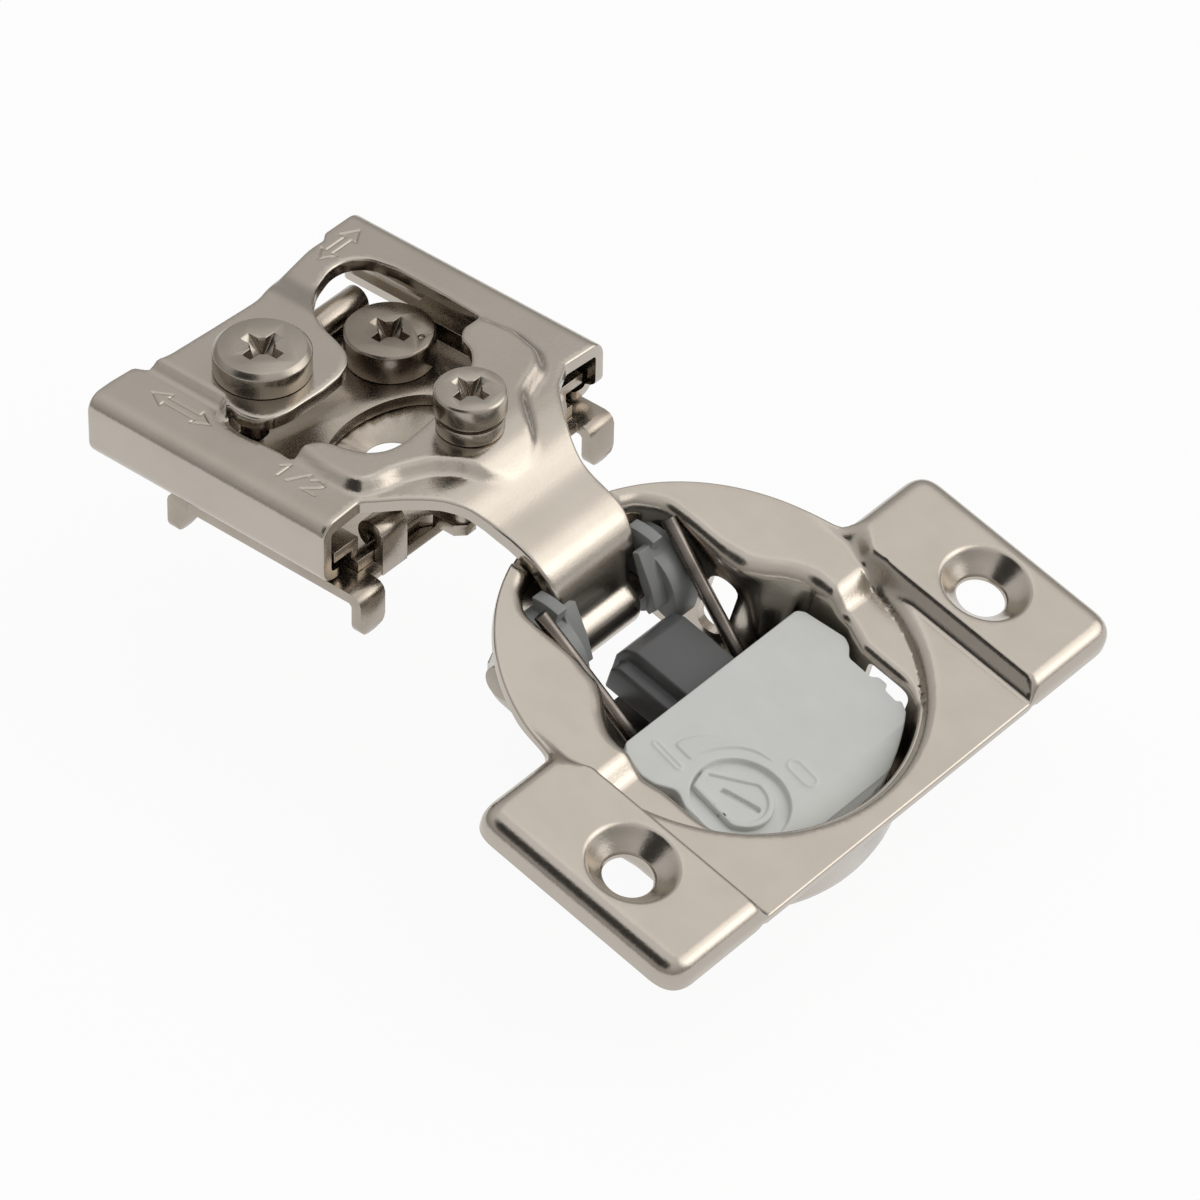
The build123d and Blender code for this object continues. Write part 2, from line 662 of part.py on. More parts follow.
def damper_rod():
    body = along(-1.1, rod_end, rod_r)
    return in_cup(body)


def damper_piston():
    body = along(-1.1, -0.1, cylinder_r - cylinder_wall - running_fit)
    body -= along(-3, 3, rod_r)
    return in_cup(body)


def damper_spring():
    turns = 7
    x0 = 1.25
    length = 12.2 - 0.05 - x0 - 2 * damper_wire_r
    path = Helix(pitch=length / turns, height=length, radius=damper_spring_r)
    section = Plane(origin=path @ 0, z_dir=path % 0) * Circle(damper_wire_r)
    coil = sweep(section, path=path)
    return in_cup(Pos(x0 + damper_wire_r, slider_y, damper_axis_z) * Rot(0, 90, 0) * coil)


def damper_switch():
    base = housing_top - 0.5 + running_fit
    top = housing_top + 0.35
    a = radians(switch_point)
    tip_x = switch_x + 4.3 * cos(a)
    tip_y = switch_y + 4.3 * sin(a)
    body = post(switch_x, switch_y, base, top, 2.6)
    b0, b1 = a + radians(76), a - radians(76)
    body += slab(
        [(switch_x + 2.6 * cos(b0), switch_y + 2.6 * sin(b0)), (tip_x - 0.35 * sin(a), tip_y + 0.35 * cos(a)),
         (tip_x + 0.35 * sin(a), tip_y - 0.35 * cos(a)), (switch_x + 2.6 * cos(b1), switch_y + 2.6 * sin(b1))],
        base, top)
    body -= Pos(switch_x, switch_y, top) * Rot(0, 0, switch_point) * block(-1.7, 1.7, -0.35, 0.35, -0.5, 1)
    body += post(switch_x, switch_y, -5.2, base + 0.1, 1.2)
    body += taper(switch_x, switch_y, -5.6, -5.2, 1.0, 1.2)
    return in_cup(body)


export(base_plate(), "base_plate")
export(slide_plate(), "slide_plate")
export(arm(), "arm")
export(depth_cam(), "depth_cam")
export(depth_cam_washer(), "depth_cam_washer")
export(height_cam(), "height_cam")
export(side_screw_piece(), "side_screw")
export(side_screw_ring(), "side_screw_ring")
export(side_shoe(), "side_shoe")
export(cup(), "cup")
export(hinge_pin(), "hinge_pin")
export(cam(1), "cam_right")
export(cam(-1), "cam_left")
export(closing_spring(), "closing_spring")
export(damper_housing(), "damper_housing")
export(damper_cover(), "damper_cover")
export(damper_slider(), "damper_slider")
export(damper_cylinder(), "damper_cylinder")
export(damper_gland(), "damper_gland")
export(damper_rod(), "damper_rod")
export(damper_piston(), "damper_piston")
export(damper_spring(), "damper_spring")
export(damper_switch(), "damper_switch")
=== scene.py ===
import bpy
import math
import numpy as np
from mathutils import Matrix, Vector
from mathutils.geometry import delaunay_2d_cdt


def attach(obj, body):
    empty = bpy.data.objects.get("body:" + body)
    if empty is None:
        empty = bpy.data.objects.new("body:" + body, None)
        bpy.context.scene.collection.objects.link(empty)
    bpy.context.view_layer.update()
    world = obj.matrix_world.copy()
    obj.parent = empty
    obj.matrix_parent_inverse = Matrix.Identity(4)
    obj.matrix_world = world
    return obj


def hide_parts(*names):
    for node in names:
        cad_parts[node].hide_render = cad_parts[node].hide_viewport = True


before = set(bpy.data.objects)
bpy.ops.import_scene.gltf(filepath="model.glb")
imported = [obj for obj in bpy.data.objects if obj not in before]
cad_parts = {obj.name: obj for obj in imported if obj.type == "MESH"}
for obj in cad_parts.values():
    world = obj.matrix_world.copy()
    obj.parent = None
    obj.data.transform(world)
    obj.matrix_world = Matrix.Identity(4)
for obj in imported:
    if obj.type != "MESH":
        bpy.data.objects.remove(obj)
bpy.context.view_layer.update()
bpy.ops.object.select_all(action="DESELECT")

# Camera: a long lens that stands where the photograph was taken from, above the near corner of the cup's
# left wing. Its place is in millimetres, and its focal length is in pixels of a picture 1200 wide.
MM = 0.001
picture_width = 1200
focal_length = 7744.93
camera_place = (326.37, -371.76, 404.72)
view_right = Vector((0.76508908, 0.64370858, 0.01667208))
view_down = Vector((0.42615936, -0.48676838, -0.76252524))
view_ahead = Vector((-0.4827286, 0.5905047, -0.64674361))
bpy.ops.object.camera_add()
camera = bpy.context.object
turn = Matrix((view_right, -view_down, -view_ahead)).transposed()
camera.matrix_world = Matrix.Translation(Vector(camera_place) * MM) @ turn.to_4x4()
camera.data.sensor_width = 36
camera.data.lens = 36 * focal_length / picture_width
camera.data.clip_start = 0.01
bpy.context.scene.camera = camera
bpy.context.scene.view_settings.view_transform = "Standard"

# Floor: a white table below the hinge. It takes the soft shadow, and it is plain white to the camera and in
# what the metal reflects.
table_height = -17.6
table_size = 3.0
table_glow = 0.93
bpy.ops.mesh.primitive_plane_add(size=table_size, location=(0, 0, table_height * MM))
table = bpy.context.object
table.name = "table"
white = bpy.data.materials.new("white_table")
white.use_nodes = True
nodes = white.node_tree.nodes
links = white.node_tree.links
nodes["Principled BSDF"].inputs["Base Color"].default_value = (0.80, 0.80, 0.80, 1)
nodes["Principled BSDF"].inputs["Roughness"].default_value = 0.9
path = nodes.new("ShaderNodeLightPath")
glow = nodes.new("ShaderNodeEmission")
glow.inputs["Color"].default_value = (1, 1, 1, 1)
seen = path.outputs["Is Camera Ray"]
for ray in ("Is Glossy Ray", "Is Transmission Ray"):
    either = nodes.new("ShaderNodeMath")
    either.operation = "MAXIMUM"
    links.new(seen, either.inputs[0])
    links.new(path.outputs[ray], either.inputs[1])
    seen = either.outputs[0]
share = nodes.new("ShaderNodeMath")
share.operation = "MULTIPLY"
share.inputs[1].default_value = table_glow
links.new(seen, share.inputs[0])
mix = nodes.new("ShaderNodeMixShader")
links.new(share.outputs[0], mix.inputs["Fac"])
links.new(nodes["Principled BSDF"].outputs["BSDF"], mix.inputs[1])
links.new(glow.outputs["Emission"], mix.inputs[2])
links.new(mix.outputs["Shader"], nodes["Material Output"].inputs["Surface"])
table.data.materials.append(white)

# Light: a tent that is bright overhead and dimmer towards the floor. A dark opening in front draws the dark
# bands on the rounded edges of the metal, a bright panel draws the highlights, and two soft boxes add shadow.
tent_levels = ((0.0, 0.36), (0.3, 0.50), (0.6, 0.72), (0.82, 0.80), (1.0, 0.87))
opening = {"azimuth": 268, "elevation": 45, "reach": 23, "edge": 6, "level": 0.05}
panel = {"azimuth": 47, "elevation": 33, "reach": 24, "edge": 12, "level": 2.0}
tent = bpy.data.worlds.new("light_tent")
bpy.context.scene.world = tent
tent.use_nodes = True
nodes = tent.node_tree.nodes
links = tent.node_tree.links
where = nodes.new("ShaderNodeTexCoord")
split = nodes.new("ShaderNodeSeparateXYZ")
links.new(where.outputs["Generated"], split.inputs["Vector"])
ramp = nodes.new("ShaderNodeValToRGB")
for position, level in tent_levels:
    stop = ramp.color_ramp.elements.new(position)
    stop.color = (level, 0.985 * level, 0.965 * level, 1)
for spare in (ramp.color_ramp.elements[-1], ramp.color_ramp.elements[0]):
    ramp.color_ramp.elements.remove(spare)
links.new(split.outputs["Z"], ramp.inputs["Fac"])
tint = ramp.outputs["Color"]
for patch in (opening, panel):
    a, e = math.radians(patch["azimuth"]), math.radians(patch["elevation"])
    facing = nodes.new("ShaderNodeVectorMath")
    facing.operation = "DOT_PRODUCT"
    facing.inputs[1].default_value = (math.cos(a) * math.cos(e), math.sin(a) * math.cos(e), math.sin(e))
    links.new(where.outputs["Generated"], facing.inputs[0])
    spot = nodes.new("ShaderNodeMapRange")
    spot.interpolation_type = "SMOOTHSTEP"
    spot.inputs["From Min"].default_value = math.cos(math.radians(patch["reach"] + patch["edge"]))
    spot.inputs["From Max"].default_value = math.cos(math.radians(patch["reach"] - patch["edge"]))
    links.new(facing.outputs["Value"], spot.inputs["Value"])
    blend = nodes.new("ShaderNodeMix")
    blend.data_type = "RGBA"
    links.new(spot.outputs["Result"], blend.inputs[0])
    links.new(tint, blend.inputs[6])
    level = patch["level"]
    blend.inputs[7].default_value = (level, 0.98 * level, 0.95 * level, 1)
    tint = blend.outputs[2]
links.new(tint, nodes["Background"].inputs["Color"])
nodes["Background"].inputs["Strength"].default_value = 1.0
for name, place, aim, size, power in (
    ("soft_box_top", (-0.12, 0.42, 0.72), (0, 0, 0), 0.5, 0.26),
    ("strip_right", (0.6, 0.45, 0.4), (0.02, 0, 0), 0.3, 0.20),
):
    bpy.ops.object.light_add(type="AREA", location=place)
    lamp = bpy.context.object
    lamp.name = name
    lamp.data.size = size
    lamp.data.energy = power
    lamp.rotation_euler = (Vector(aim) - Vector(place)).to_track_quat("-Z", "Y").to_euler()


# Base plate: pressed from 1 mm steel and barrel plated with dull nickel. Four hooks with round tips straddle
# the frame, four curls hold the slide plate, and the middle is dished for the frame screw.
def mottled(name, colour, dark, scale, detail, start, end):
    """A material whose colour wanders softly between two tones."""
    material = bpy.data.materials.new(name)
    material.use_nodes = True
    nodes = material.node_tree.nodes
    links = material.node_tree.links
    where = nodes.new("ShaderNodeTexCoord")
    cloud = nodes.new("ShaderNodeTexNoise")
    cloud.inputs["Scale"].default_value = scale
    cloud.inputs["Detail"].default_value = detail
    links.new(where.outputs["Object"], cloud.inputs["Vector"])
    tint = nodes.new("ShaderNodeValToRGB")
    for stop, position, tone in zip(tint.color_ramp.elements, (start, end), (dark, colour)):
        stop.position = position
        stop.color = (*tone, 1)
    links.new(cloud.outputs["Fac"], tint.inputs["Fac"])
    links.new(tint.outputs["Color"], nodes["Principled BSDF"].inputs["Base Color"])
    return material


def grained(material, scale, detail, strength, depth):
    """Fine grain that tilts the surface. Gives the noise that it comes from."""
    nodes = material.node_tree.nodes
    links = material.node_tree.links
    where = nodes.new("ShaderNodeTexCoord")
    grain = nodes.new("ShaderNodeTexNoise")
    grain.inputs["Scale"].default_value = scale
    grain.inputs["Detail"].default_value = detail
    links.new(where.outputs["Object"], grain.inputs["Vector"])
    bump = nodes.new("ShaderNodeBump")
    bump.inputs["Strength"].default_value = strength
    bump.inputs["Distance"].default_value = depth * MM
    links.new(grain.outputs["Fac"], bump.inputs["Height"])
    links.new(bump.outputs["Normal"], nodes["Principled BSDF"].inputs["Normal"])
    return grain


def nickel(name, colour, dark, roughness, pit_size, pit_depth):
    """Barrel-plated nickel: soft mottling, fine pits and small changes of gloss."""
    material = mottled(name, colour, dark, 220, 5, 0.35, 0.6)
    grain = grained(material, 1.0 / (pit_size * MM), 3, 0.5, pit_depth)
    nodes = material.node_tree.nodes
    links = material.node_tree.links
    shader = nodes["Principled BSDF"]
    shader.inputs["Metallic"].default_value = 1.0
    gloss = nodes.new("ShaderNodeMapRange")
    gloss.inputs["From Min"].default_value = 0.3
    gloss.inputs["From Max"].default_value = 0.7
    gloss.inputs["To Min"].default_value = roughness - 0.03
    gloss.inputs["To Max"].default_value = roughness + 0.04
    links.new(grain.outputs["Fac"], gloss.inputs["Value"])
    links.new(gloss.outputs["Result"], shader.inputs["Roughness"])
    return material


def only(piece):
    """Makes one piece the selected and the active one."""
    bpy.ops.object.select_all(action="DESELECT")
    piece.select_set(True)
    bpy.context.view_layer.objects.active = piece


def block(low, high, r=0, segments=4):
    """A block between two corners, with its edges rounded."""
    bpy.ops.mesh.primitive_cube_add(size=1, location=[(a + b) / 2 * MM for a, b in zip(low, high)])
    made = bpy.context.object
    made.scale = [(b - a) * MM for a, b in zip(low, high)]
    bpy.ops.object.transform_apply(location=True, rotation=True, scale=True)
    if r:
        rounding = made.modifiers.new("rounded_edges", "BEVEL")
        rounding.width = r * MM
        rounding.segments = segments
        bpy.ops.object.modifier_apply(modifier=rounding.name)
    return made


def combined(piece, tool, operation):
    """Cuts a piece with a tool, or keeps what lies within the tool, and takes the tool away."""
    step = piece.modifiers.new("combined", "BOOLEAN")
    step.operation = operation
    step.solver = "EXACT"
    step.use_self = operation == "INTERSECT"
    step.object = tool
    bpy.context.view_layer.objects.active = piece
    bpy.ops.object.modifier_apply(modifier=step.name)
    bpy.data.objects.remove(tool)


def merged_copy(node):
    """A copy of a solid's mesh, with its triangles joined."""
    piece = bpy.data.objects.new(node + "_finished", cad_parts[node].data.copy())
    bpy.context.collection.objects.link(piece)
    only(piece)
    bpy.ops.object.mode_set(mode="EDIT")
    bpy.ops.mesh.select_all(action="SELECT")
    bpy.ops.mesh.remove_doubles(threshold=0.002 * MM)
    return piece


def softened(node, width, segments=2, within=None):
    """A copy of the solid with its sharp edges broken, as tumbling and plating leave them."""
    piece = merged_copy(node)
    bpy.ops.mesh.dissolve_limited(angle_limit=math.radians(0.6))
    bpy.ops.object.mode_set(mode="OBJECT")
    if within:
        combined(piece, within, "INTERSECT")
    bevel = piece.modifiers.new("broken_edges", "BEVEL")
    bevel.width = width * MM
    bevel.segments = segments
    bevel.limit_method = "ANGLE"
    bevel.angle_limit = math.radians(30)
    bevel.use_clamp_overlap = True
    bpy.ops.object.modifier_apply(modifier=bevel.name)
    bpy.ops.object.shade_smooth_by_angle(angle=math.radians(32))
    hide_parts(node)
    return piece


def finish(piece, material, body):
    piece.data.materials.clear()
    piece.data.materials.append(material)
    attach(piece, body)


# the plate stays whole in its middle and above its underside, and each pair of hooks lies in a round-edged bar
middle_half = 12.5
hook_side = (12.88, 15.92)
hook_tip = -3.32
hook_tip_r = 1.45
bars = [block((-30, -middle_half, -10), (30, middle_half, 15)), block((-30, -30, -1.6), (30, 30, 15))]
for y0, y1 in (hook_side, (-hook_side[1], -hook_side[0])):
    bars.append(block((-30, y0, hook_tip), (30, y1, 15), hook_tip_r, 7))
for bar in bars:
    bar.select_set(True)
bpy.ops.object.join()
# the dull nickel is darker than the sheet's: a duller plating, and painted shade for the shade under the arm's rails
dull_nickel_painted_shade = nickel("dull_nickel_painted_shade", (0.42, 0.372, 0.318), (0.37, 0.323, 0.272), 0.25, 0.2, 0.018)
finish(softened("base_plate", 0.16, within=bpy.context.object), dull_nickel_painted_shade, "base")

# Slide plate: a second pressing between the base plate's curls, with a strip at each side for the arm's rails
# and a bridge for the side shoe. It has the base plate's dull nickel, darkened as painted shade for the arm's shade.
finish(softened("slide_plate", 0.14), dull_nickel_painted_shade, "height_slide")

# Height cam: a turned steel head with a cross recess, peened into the slide plate from below.
# Its plating is darker than the sheet's, and oily.
oiled_nickel = nickel("oiled_nickel", (0.31, 0.27, 0.23), (0.24, 0.205, 0.17), 0.24, 0.2, 0.012)
finish(softened("height_cam", 0.12), oiled_nickel, "height_adjuster")

# Side shoe: the threaded foot of the side screw, a turned steel part that slides below the bridge of the
# slide plate.
finish(softened("side_shoe", 0.08), oiled_nickel, "depth_slide")


# Arm: one stamping of 1.2 mm steel. The rails are bent round the strips of the slide plate, the pad and the
# near part are pressed 1 mm high, and the end of the neck is rolled round the hinge pin.
def rounded(points, step, reach=9.0, closed=True):
    """Line through corners in even steps, each corner rounded by its own radius or as widely as fits."""
    line = []
    last = len(points)
    for i in range(last):
        here = np.array(points[i][:2], float)
        if not closed and i in (0, last - 1):
            line.append(here)
            continue
        before = np.array(points[i - 1][:2], float) - here
        after = np.array(points[(i + 1) % last][:2], float) - here
        long_before, long_after = np.linalg.norm(before), np.linalg.norm(after)
        radius = points[i][2] if len(points[i]) > 2 else reach
        corner = math.pi - math.acos(np.clip(before @ after / long_before / long_after, -1, 1))
        cut = min(radius * math.tan(corner / 2), 0.48 * long_before, 0.48 * long_after)
        start = here + before / long_before * cut
        end = here + after / long_after * cut
        for k in range(11):
            t = k / 10
            line.append((1 - t) ** 2 * start + 2 * t * (1 - t) * here + t * t * end)
    if closed:
        line.append(line[0])
    line = np.array(line)
    run = np.concatenate(([0], np.cumsum(np.linalg.norm(np.diff(line, axis=0), axis=1))))
    number = max(int(round(run[-1] / step)), 8)
    at = np.linspace(0, run[-1], number, endpoint=not closed)
    return np.stack([np.interp(at, run, line[:, k]) for k in (0, 1)], axis=1)


def turned(ring, left=True):
    """The ring in the direction that keeps its inside on the left, or on the right for a hole."""
    x, y = ring[:, 0], ring[:, 1]
    area = np.sum(x * np.roll(y, -1) - np.roll(x, -1) * y)
    return ring if (area > 0) == left else ring[::-1].copy()


def other_side(points):
    """The corners mirrored to the other side, last one first."""
    return [(p[0], -p[1], *p[2:]) for p in reversed(points)]


def ring_of(x, y, r, number):
    around = np.linspace(0, 2 * math.pi, number, endpoint=False)
    return np.array([(x + r * math.cos(t), y + r * math.sin(t)) for t in around])


def moved_in(ring, distance):
    """The ring moved to its left, into the metal."""
    along = np.roll(ring, -1, axis=0) - np.roll(ring, 1, axis=0)
    along /= np.linalg.norm(along, axis=1)[:, None]
    left = np.stack([-along[:, 1], along[:, 0]], axis=1)
    return ring + left * (distance if np.isscalar(distance) else distance[:, None])


def in_parts(points):
    """Numbers of the points, in parts that are small enough to compare with every stretch of a line."""
    return np.array_split(np.arange(len(points)), max(len(points) // 4000, 1))


def inside(points, rings):
    """True for each point in the outline and in none of its holes."""
    result = np.zeros(len(points), bool)
    for ring in rings:
        x0, y0 = ring[:, 0], ring[:, 1]
        x1, y1 = np.roll(x0, -1), np.roll(y0, -1)
        rise = np.where(y1 == y0, 1e-12, y1 - y0)
        for part in in_parts(points):
            px, py = points[part, 0][:, None], points[part, 1][:, None]
            crossing = ((y0 > py) != (y1 > py)) & (px < (x1 - x0) * (py - y0) / rise + x0)
            result[part] ^= crossing.sum(axis=1) % 2 == 1
    return result


def away(points, line, closed=True):
    """Distance of each point from the nearest stretch of a line."""
    start = line if closed else line[:-1]
    end = np.roll(line, -1, axis=0) if closed else line[1:]
    run = end - start
    length = np.maximum((run ** 2).sum(axis=1), 1e-12)
    result = np.full(len(points), 1e9)
    for part in in_parts(points):
        gap = points[part][:, None] - start[None]
        t = np.clip((gap * run[None]).sum(axis=2) / length[None], 0, 1)
        result[part] = np.linalg.norm(gap - t[..., None] * run[None], axis=2).min(axis=1)
    return result


def depth_in(points, ring):
    """Distance of each point from a ring, positive inside and negative outside."""
    return away(points, ring) * np.where(inside(points, [ring]), 1, -1)


def eased(value):
    value = np.clip(value, 0, 1)
    return value * value * (3 - 2 * value)


def near_line(points, line, near):
    """True for each point closer to an open line than a distance."""
    low, high = line.min(axis=0) - near, line.max(axis=0) + near
    chosen = np.flatnonzero(((points > low) & (points < high)).all(axis=1))
    result = np.zeros(len(points), bool)
    result[chosen] = away(points[chosen], line, closed=False) < near
    return result


def scattered(rings, spacing, margin, fine=()):
    """Points in a triangular pattern over the metal, closer together near the fine lines."""
    low = rings[0].min(axis=0)
    high = rings[0].max(axis=0)
    result = []
    for size, lines, near in [(spacing, None, 0)] + list(fine):
        rows = np.arange(low[1], high[1], size * 0.866)
        columns = np.arange(low[0], high[0], size)
        grid = np.array([(x + (k % 2) * size / 2, y) for k, y in enumerate(rows) for x in columns])
        if lines is not None:
            grid = grid[np.any([near_line(grid, line, near) for line in lines], axis=0)]
        else:
            for _, other_lines, other_near in fine:
                for line in other_lines:
                    grid = grid[~near_line(grid, line, other_near)]
        grid = grid[inside(grid, rings)]
        for ring in rings:
            grid = grid[away(grid, ring) > margin]
        result.append(grid)
    return np.concatenate(result)


def filled(rings, points):
    """Triangles over the metal between the rings: all the flat points, and the faces, counter-clockwise."""
    flat = np.concatenate(list(rings) + [points])
    edges = []
    start = 0
    for ring in rings:
        edges += [(start + i, start + (i + 1) % len(ring)) for i in range(len(ring))]
        start += len(ring)
    made = delaunay_2d_cdt([Vector(p) for p in flat.tolist()], edges, [], 0, 1e-7)
    number = [first[0] if first else -1 for first in made[3]]
    faces = np.array([[number[v] for v in face] for face in made[2]])
    assert faces.min() >= 0
    middle = flat[faces].mean(axis=1)
    faces = faces[inside(middle, rings)]
    a, b, c = flat[faces[:, 0]], flat[faces[:, 1]], flat[faces[:, 2]]
    wrong = (b[:, 0] - a[:, 0]) * (c[:, 1] - a[:, 1]) - (b[:, 1] - a[:, 1]) * (c[:, 0] - a[:, 0]) < 0
    faces[wrong] = faces[wrong][:, ::-1]
    return flat, faces


class Sheet:
    """Collects the points and faces of one stamping or moulding."""

    def __init__(self):
        self.points = []
        self.faces = []

    def add(self, points):
        start = len(self.points)
        self.points += [tuple(p) for p in points]
        return np.arange(start, start + len(points))

    def stack(self, levels, downward=False):
        """Faces between rings of equal number that run to the right, seen from outside, from the lowest ring upward."""
        for low, high in zip(levels, levels[1:]):
            if downward:
                low, high = high, low
            for i in range(len(low)):
                j = (i + 1) % len(low)
                self.faces.append((low[i], low[j], high[j], high[i]))

    def fill(self, numbers, faces, under=False):
        order = (0, 2, 1) if under else (0, 1, 2)
        self.faces += [tuple(int(numbers[face[k]]) for k in order) for face in faces]

    def make(self, name):
        mesh = bpy.data.meshes.new(name)
        points = [tuple(c * MM for c in p) for p in self.points]
        mesh.from_pydata(points, [], [tuple(int(v) for v in face) for face in self.faces])
        piece = bpy.data.objects.new(name, mesh)
        bpy.context.collection.objects.link(piece)
        only(piece)
        bpy.ops.object.mode_set(mode="EDIT")
        bpy.ops.mesh.select_all(action="SELECT")
        bpy.ops.mesh.remove_doubles(threshold=0.0015 * MM)
        bpy.ops.mesh.dissolve_degenerate(threshold=0.001 * MM)
        bpy.ops.object.mode_set(mode="OBJECT")
        return piece


# side view of the arm's upper side, in x and z, from the far end over the neck and round the pin
arm_thick = 1.2
edge_round = 0.26
far_reach = 25.0
pin_at = (21.37, -4.86)
roll_r = 2.5
neck_side = [
    (-far_reach, 7.3), (9.6, 7.3), (11.6, 7.22), (13.4, 6.6), (14.9, 5.65), (16.2, 4.9), (17.6, 4.4), (18.9, 3.9),
    (19.9, 3.38), (20.8, 2.65), (21.4, 1.8), (21.85, 0.85), (22.2, -0.4), (22.45, -1.5), (22.66, -2.6, 0.3),
]
for degrees in range(46, -245, -10):
    t = math.radians(degrees)
    neck_side.append((pin_at[0] + roll_r * math.cos(t), pin_at[1] + roll_r * math.sin(t), 3.0))
spine = rounded(neck_side, 0.04, closed=False)
spine_run = np.concatenate(([0], np.cumsum(np.linalg.norm(np.diff(spine, axis=0), axis=1)))) - far_reach
spine_way = np.gradient(spine, axis=0)
spine_way /= np.linalg.norm(spine_way, axis=1)[:, None]
roll_end = spine_run[-1]
rail_bend = 15.35
rail_bend_r = 1.6
rail_wall = 2.95
rail_wall_start = 17.863
rail_lip_bend = 20.813
rail_lip_start = 23.326
rail_lip_thins = 20.75
bend_thinning = 0.085


def run_at(x):
    """Length along the sheet for a place on the neck, above the roll."""
    chosen = (spine_run < 32.5) & (spine[:, 1] > -2.0)
    return float(np.interp(x, spine[chosen, 0], spine_run[chosen]))


def over_arm(flat, height, depth):
    """Places of flat points of the arm's blank on the bent sheet, at a depth below its upper side."""
    u, v = flat[:, 0], flat[:, 1]
    x = np.interp(u, spine_run, spine[:, 0])
    z = np.interp(u, spine_run, spine[:, 1])
    normal_x = -np.interp(u, spine_run, spine_way[:, 1])
    normal_z = np.interp(u, spine_run, spine_way[:, 0])
    a = np.abs(v)
    side = np.sign(v)
    bend1 = np.clip((a - rail_bend) / rail_bend_r, 0, math.pi / 2)
    bend2 = np.clip((a - rail_lip_bend) / rail_bend_r, 0, math.pi / 2)
    y = np.minimum(a, rail_bend) + rail_bend_r * (np.sin(bend1) - 1 + np.cos(bend2))
    y -= np.clip(a - rail_lip_start, 0, 5)
    drop = rail_bend_r * (1 - np.cos(bend1) + np.sin(bend2)) + np.clip(a - rail_wall_start, 0, rail_wall)
    lean = bend1 + bend2
    thin = 1.0 - bend_thinning * (eased((a - rail_bend) / rail_bend_r) + eased((a - rail_lip_thins) / rail_bend_r))
    off = height - depth * thin
    up = normal_z * np.cos(lean)
    return np.stack([x + off * normal_x, side * (y + off * np.sin(lean)), z - drop + off * up], axis=1)


# the blank's outline: both rails, the neck out to the roll's end, and the far edge, then the window in the pad
left_rail = [(-18.35, -24.05, 0.4), (7.4, -24.05, 0.5), (7.4, -15.4, 0.5), (7.25, -12.3, 0.5)]
right_rail = [
    (8.3, 12.3, 0.5), (8.5, 15.4), (8.5, 20.4, 0.5), (7.4, 21.3, 0.6), (7.2, 24.05, 0.5), (-18.35, 24.05, 0.4),
]
neck_plan = [
    (8.2, -11.35), (9.5, -9.9), (10.8, -8.7), (12.3, -7.45), (13.9, -6.35), (15.6, -5.6), (17.3, -5.35),
    (20.6, -5.28), (21.7, -5.05),
]
near_run = run_at(22.25)
neck = [(run_at(x), y) for x, y in neck_plan]
neck += [(near_run, -4.8, 0.45), (near_run + 0.05, -3.72, 0.45), (roll_end - 0.2, -3.7, 0.3)]
far_edge = [
    (-18.4, 16.0, 0.5), (-18.4, 12.4, 0.5), (-17.85, 11.6, 0.5), (-17.9, 9.8), (-17.2, 5.8), (-16.1, 2.6, 2.0),
    (-15.7, 1.0), (-16.0, -4.6), (-16.3, -9.4), (-16.8, -10.8), (-18.2, -11.5, 0.6), (-18.4, -14.0),
]
arm_outline = left_rail + neck + other_side(neck)[:-1] + right_rail + far_edge
arm_outline = turned(rounded(arm_outline, 0.3, reach=7.0))
arm_window = [
    (-8.3, -11.1, 0.4), (-7.1, -11.75), (-5.9, -12.05), (-4.7, -11.95), (-3.3, -11.75), (-1.5, -11.75, 0.8),
    (-0.45, -11.9, 0.6), (-0.1, -10.3), (0.9, -9.15), (2.6, -8.8), (4.2, -8.25), (5.4, -6.9), (5.75, -5.0),
    (5.6, -2.6), (5.3, 0.2), (4.4, 3.4), (3.1, 6.5), (1.7, 7.85), (0.3, 8.3, 1.2), (-0.45, 9.4, 1.4),
    (-0.35, 11.2, 1.2), (-1.3, 12.5, 1.2), (-5.0, 12.7), (-10.6, 12.75), (-13.2, 12.2), (-14.5, 10.8),
    (-14.75, 9.0), (-13.9, 6.3), (-12.4, 4.2), (-11.0, 2.75), (-9.4, 1.9), (-7.4, 1.35), (-5.6, 0.75),
    (-4.45, -0.3), (-3.85, -2.0), (-3.7, -4.5), (-3.85, -8.2), (-4.35, -10.1), (-5.5, -10.95), (-7.0, -11.15),
    (-8.1, -10.9, 0.3),
]
arm_window = turned(rounded(arm_window, 0.25, reach=5.0), left=False)
shaft_holes = []
for x, y, r in ((-9.2, -5.6, 2.45), (run_at(8.45), 0.0, 1.8)):
    shaft_holes.append(turned(ring_of(x, y, r, 36), left=False))
near_rise = rounded([
    (-6.0, -11.5), (-0.9, -11.6), (2.9, -12.2), (5.6, -12.2), (7.2, -11.6), (7.9, -9.8), (8.2, -8.2), (9.3, -6.0),
    (11.0, -4.5), (13.0, -3.3), (15.0, -1.2), (15.0, 1.2), (13.1, 3.4), (11.1, 5.0), (9.2, 6.6), (8.6, 8.3),
    (7.9, 10.5), (6.2, 12.0), (3.0, 12.7), (-0.8, 12.2), (-6.0, 12.2),
], 0.3, reach=3.0)
pad_end = -2.5
emboss = 1.0


def arm_rise(flat):
    """Height of the pressed pad and near part above the rails."""
    u, v = flat[:, 0], flat[:, 1]
    step_at = -10.95 - 0.75 * eased((u + 9.3) / 1.2)
    pad = eased((v - step_at) / 0.75) * (1 - eased((v - 2.3) / 4.0) ** 0.9) * (u < pad_end)
    near = eased(depth_in(flat, near_rise) / 1.15 + 0.05) * (1 - eased((u - 10.2) / 4.6)) * (u > pad_end)
    return emboss * (pad + near)


